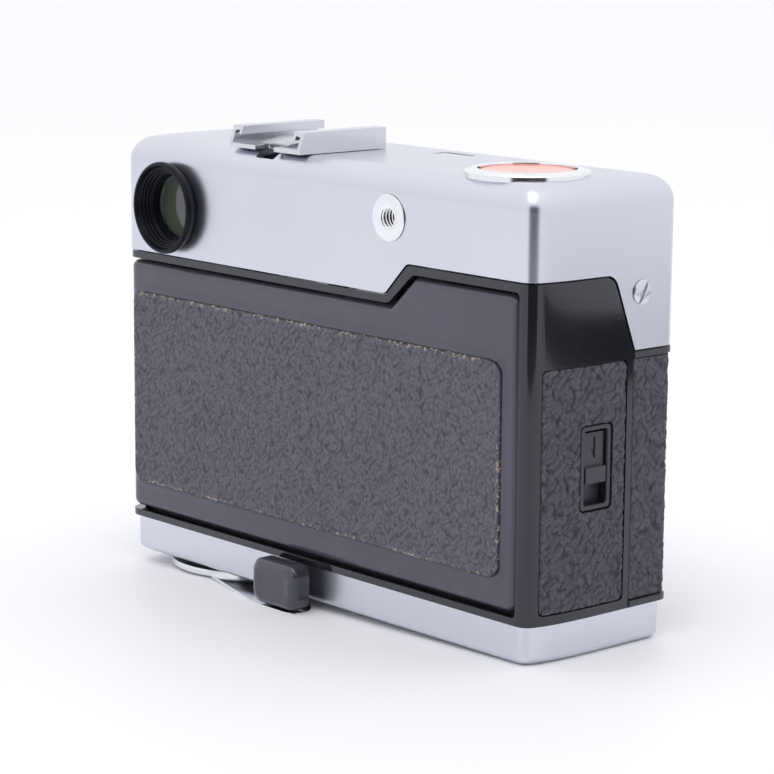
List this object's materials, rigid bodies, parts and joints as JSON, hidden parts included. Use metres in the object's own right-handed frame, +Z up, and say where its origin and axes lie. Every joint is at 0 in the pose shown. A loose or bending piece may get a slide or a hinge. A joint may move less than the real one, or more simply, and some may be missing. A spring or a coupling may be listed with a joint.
{
  "type": "rangefinder camera",
  "caption": "Compact 35 mm rangefinder camera with a hinged back, an advance lever under the base, a focusing lens, a wide release button and an accessory shoe.",
  "frame": {"origin": "under the middle of the overall box, on the surface that the camera stands on", "axes": "+Z up, +X towards the eyepiece end, -Y towards the lens front, +Y towards the hinged back"},
  "size_m": [0.1162, 0.061, 0.0879],
  "materials": {
    "satin_chrome": "satin plated brass sheet",
    "bright_chrome": "bright plating",
    "cast_alloy": "die-cast, blackened",
    "gloss_black": "gloss moulded plastic",
    "black_plastic": "satin moulded plastic",
    "leatherette": "pebble grained covering",
    "glass": "polished, coated",
    "orange_plastic": "gloss orange-red",
    "spring_steel": "bright steel",
    "brass": "machined"
  },
  "bodies": {
    "body": {"top_cover": "satin_chrome", "base_plate": "satin_chrome", "battery_cover": "satin_chrome", "lens_flange": "satin_chrome", "release_ring": "bright_chrome", "cable_release_bush": "bright_chrome", "side_screw_right": "bright_chrome", "side_screw_left": "bright_chrome", "accessory_shoe": "bright_chrome", "base_screw_1": "bright_chrome", "base_screw_2": "bright_chrome", "base_screw_3": "bright_chrome", "body_casting": "cast_alloy", "rear_frame": "gloss_black", "front_window_panel": "gloss_black", "latch_escutcheon": "black_plastic", "shutter_housing": "black_plastic", "eyepiece_ring": "black_plastic", "front_leather": "leatherette", "side_leather": "leatherette", "rear_lens_glass": "glass", "viewfinder_window": "glass", "frameline_window": "glass", "rangefinder_window": "glass", "eyepiece_lens": "glass", "viewfinder_block": "glass", "counter_window": "glass", "door_hinge_pin": "spring_steel", "shoe_spring": "spring_steel", "tripod_bush": "brass"},
    "door": {"back_door": "black_plastic", "door_leather": "leatherette", "pressure_plate": "black_plastic", "pressure_plate_spring": "spring_steel", "latch_hook": "spring_steel"},
    "latch": {"latch_slider": "black_plastic"},
    "lever": {"advance_lever": "bright_chrome", "thumb_tab": "black_plastic"},
    "spool": {"take_up_spool": "black_plastic"},
    "sprocket": {"film_sprocket": "spring_steel"},
    "counter": {"counter_disc": "black_plastic"},
    "rewind": {"rewind_knob": "bright_chrome", "rewind_fork": "spring_steel"},
    "crank": {"rewind_crank": "bright_chrome"},
    "release": {"release_button": "orange_plastic", "release_plunger": "spring_steel"},
    "exposure": {"exposure_ring": "satin_chrome"},
    "focus": {"focus_ring": "black_plastic"},
    "cell": {"lens_cell": "black_plastic", "lens_retaining_ring": "black_plastic", "front_lens_glass": "glass"},
    "rangefinder": {"rangefinder_arm": "brass"},
    "blade_left": {"shutter_blade_left": "black_plastic"},
    "blade_right": {"shutter_blade_right": "black_plastic"}
  },
  "joints": [
    {"name": "door_hinge", "type": "hinge", "parent": "body", "child": "door", "pos_m": [0.0546, 0.0065, 0.0348], "axis": [0, 0, -1], "range_deg": [0, 105]},
    {"name": "latch_slide", "type": "slide", "parent": "body", "child": "latch", "axis": [0, 0, -1], "range_m": [0, 0.0035], "stiffness_N_per_m": 150, "springref_m": -0.002},
    {"name": "advance_lever_turn", "type": "hinge", "parent": "body", "child": "lever", "pos_m": [0.0382, 0.0081, 0.0018], "axis": [0, 0, -1], "range_deg": [0, 130], "stiffness_Nm_per_rad": 0.02, "springref_deg": -22.92},
    {"name": "take_up_turn", "type": "hinge", "parent": "body", "child": "spool", "pos_m": [0.0382, 0.0081, 0.0348], "axis": [0, 0, -1], "range_deg": [0, 240]},
    {"name": "sprocket_turn", "type": "hinge", "parent": "body", "child": "sprocket", "pos_m": [0.0224, 0.0171, 0.0348], "axis": [0, 0, -1], "range_deg": [0, 361]},
    {"name": "counter_turn", "type": "hinge", "parent": "body", "child": "counter", "pos_m": [-0.0102, 0.0075, 0.0798], "axis": [0, 0, -1], "range_deg": [0, 11]},
    {"name": "rewind_turn", "type": "hinge", "parent": "body", "child": "rewind", "pos_m": [-0.039, 0.0081, 0.0038], "axis": [0, 0, -1], "continuous": true},
    {"name": "rewind_crank_fold", "type": "hinge", "parent": "rewind", "child": "crank", "pos_m": [-0.0324, 0.0081, 0.0026], "axis": [0, -1, 0], "range_deg": [0, 100]},
    {"name": "release_press", "type": "slide", "parent": "body", "child": "release", "axis": [0, 0, -1], "range_m": [0, 0.0012], "stiffness_N_per_m": 600, "springref_m": -0.001},
    {"name": "exposure_ring_turn", "type": "hinge", "parent": "body", "child": "exposure", "pos_m": [0, -0.0185, 0.0352], "axis": [0, -1, 0], "range_deg": [-60, 60]},
    {"name": "focus_ring_turn", "type": "hinge", "parent": "body", "child": "focus", "pos_m": [0, -0.0185, 0.0352], "axis": [0, -1, 0], "range_deg": [0, 100]},
    {"name": "lens_cell_slide", "type": "slide", "parent": "body", "child": "cell", "axis": [0, -1, 0], "range_m": [0, 0.0012]},
    {"name": "rangefinder_arm_turn", "type": "hinge", "parent": "body", "child": "rangefinder", "pos_m": [0.004, -0.0005, 0.0658], "axis": [0, 0, 1], "range_deg": [0, 3.2]},
    {"name": "shutter_blade_left_slide", "type": "slide", "parent": "body", "child": "blade_left", "axis": [-1, 0, 0], "range_m": [0, 0.0066], "stiffness_N_per_m": 2, "springref_m": -0.001},
    {"name": "shutter_blade_right_slide", "type": "slide", "parent": "body", "child": "blade_right", "axis": [1, 0, 0], "range_m": [0, 0.0066]}
  ],
  "couplings": [
    {"joint": "take_up_turn", "follows": "advance_lever_turn", "ratio": 1.8},
    {"joint": "sprocket_turn", "follows": "advance_lever_turn", "ratio": 2.7692},
    {"joint": "counter_turn", "follows": "advance_lever_turn", "ratio": 0.0769},
    {"joint": "lens_cell_slide", "follows": "focus_ring_turn", "m_per_rad": 0.000687},
    {"joint": "rangefinder_arm_turn", "follows": "focus_ring_turn", "ratio": 0.03},
    {"joint": "shutter_blade_right_slide", "follows": "shutter_blade_left_slide", "ratio": 1}
  ]
}
